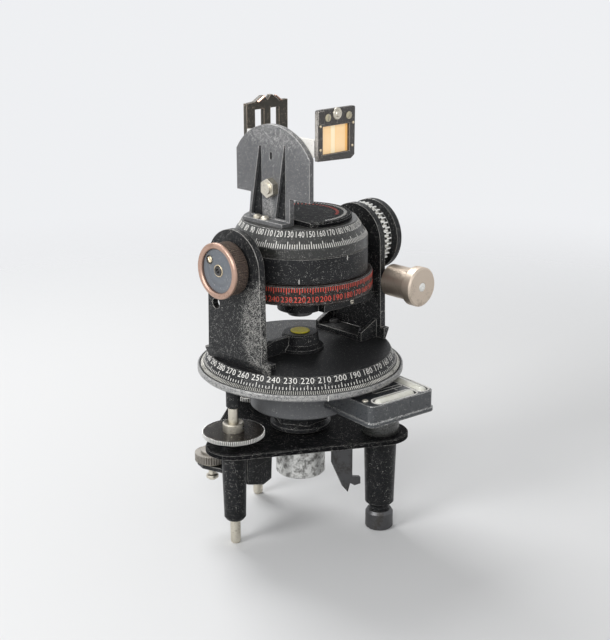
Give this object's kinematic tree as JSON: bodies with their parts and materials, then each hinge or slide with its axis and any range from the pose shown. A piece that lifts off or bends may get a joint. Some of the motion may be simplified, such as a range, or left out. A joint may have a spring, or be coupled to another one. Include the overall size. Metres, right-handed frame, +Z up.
{
  "type": "astrocompass",
  "caption": "Astrocompass on a levelled three-legged stand: bearing dial, yoke with worm-set latitude tilt, turning hour angle drum and a swinging declination sight.",
  "frame": {"origin": "centre of the spigot's lower face, on the azimuth axis", "axes": "+Z up along the azimuth axis, +X along the latitude axis towards the worm wheel, +Y towards the zero of the bearing dial"},
  "size_m": [0.1245, 0.1333, 0.2434],
  "materials": {
    "black_paint": "worn crinkle black",
    "grey_paint": "satin, worn at the edges",
    "white_paint": "satin",
    "yellow_paint": "satin",
    "nickel": "dull plated",
    "aluminium": "worn, machined",
    "steel": "oiled",
    "bronze": "machined",
    "copper": "dull, handled",
    "brown_lacquer": "satin",
    "cream_plastic": "matt",
    "vial_glass": "clear",
    "amber_screen": "frosted"
  },
  "bodies": {
    "stand": {"base_plate": "black_paint", "slim_legs": "black_paint", "thick_leg": "black_paint", "foot_pins": "nickel", "foot_ring": "steel", "base_spigot": "aluminium", "pivot_seat": "black_paint", "tie_spring": "steel", "clamp_bracket": "black_paint", "clamp_bolt": "nickel", "clamp_washer": "cream_plastic", "locating_blade": "steel"},
    "clamp": {"clamp_nut": "copper"},
    "head": {"head_casting": "grey_paint", "central_post": "black_paint", "tie_bolt": "steel", "pivot_stud": "steel", "screw_bosses": "black_paint", "azimuth_bush": "bronze", "level_box": "black_paint", "level_vials": "vial_glass", "level_cover_screws": "nickel"},
    "front_leveller": {"level_screw_front": "nickel", "level_wheel_front": "steel"},
    "back_leveller": {"level_screw_back": "nickel", "level_wheel_back": "steel"},
    "azimuth": {"bearing_dial": "black_paint", "azimuth_spindle": "steel", "spindle_nut": "bronze", "left_arm": "black_paint", "right_arm": "black_paint", "arm_bushes": "bronze", "arm_screws": "steel", "centre_boss": "black_paint", "centre_disc": "yellow_paint", "worm_bracket": "black_paint"},
    "worm": {"worm_shaft": "steel", "worm_knob": "copper"},
    "cradle": {"middle_band": "black_paint", "left_trunnion": "black_paint", "right_trunnion": "black_paint", "worm_wheel": "steel", "latitude_disc": "black_paint", "drum_strut": "black_paint"},
    "drum": {"hour_dial": "black_paint", "hour_ring": "black_paint", "drum_spindle": "steel", "crown_gear": "bronze", "dial_cap": "black_paint", "declination_plate": "grey_paint", "plate_screws": "nickel", "pivot_nut": "nickel"},
    "knob": {"knob_shaft": "steel", "hour_knob": "brown_lacquer", "knob_rim": "copper", "knob_pinion": "bronze"},
    "sight": {"sight_arm": "white_paint", "notch_frame": "grey_paint", "screen_frame": "grey_paint", "sight_screen": "amber_screen"}
  },
  "joints": [
    {"name": "clamp_turn", "type": "hinge", "parent": "stand", "child": "clamp", "pos_m": [-0.04094, 0.02974, 0.012], "axis": [0, 0, 1], "range_deg": [-360, 360]},
    {"name": "level_tilt", "type": "hinge", "parent": "stand", "child": "head", "pos_m": [0.02706, -0.03658, 0.033], "axis": [0.8039, 0.5948, 0], "range_deg": [-1.5, 1.5], "deforming": ["tie_spring"]},
    {"name": "front_screw_turn", "type": "hinge", "parent": "head", "child": "front_leveller", "pos_m": [-0.04511, 0.00594, 0.034], "axis": [0, 0, 1], "range_deg": [-540, 540]},
    {"name": "back_screw_turn", "type": "hinge", "parent": "head", "child": "back_leveller", "pos_m": [0.00751, 0.04488, 0.034], "axis": [0, 0, 1], "range_deg": [-540, 540]},
    {"name": "azimuth_turn", "type": "hinge", "parent": "head", "child": "azimuth", "pos_m": [0, 0, 0.066], "axis": [0, 0, 1], "continuous": true},
    {"name": "latitude_tilt", "type": "hinge", "parent": "azimuth", "child": "cradle", "pos_m": [0, 0, 0.129], "axis": [-1, 0, 0], "range_deg": [0, 90]},
    {"name": "worm_turn", "type": "hinge", "parent": "azimuth", "child": "worm", "pos_m": [0.0512, 0, 0.107], "axis": [0, 1, 0], "range_deg": [-30, 3630]},
    {"name": "hour_turn", "type": "hinge", "parent": "cradle", "child": "drum", "pos_m": [0, 0, 0.129], "axis": [0, 0, 1], "continuous": true},
    {"name": "knob_turn", "type": "hinge", "parent": "cradle", "child": "knob", "pos_m": [-0.055, 0, 0.129], "axis": [1, 0, 0], "continuous": true},
    {"name": "declination_tilt", "type": "hinge", "parent": "drum", "child": "sight", "pos_m": [-0.0154, 0, 0.167], "axis": [1, 0, 0], "range_deg": [-55, 55]}
  ],
  "couplings": [
    {"joint": "worm_turn", "follows": "latitude_tilt", "ratio": 40},
    {"joint": "knob_turn", "follows": "hour_turn", "ratio": 5}
  ]
}
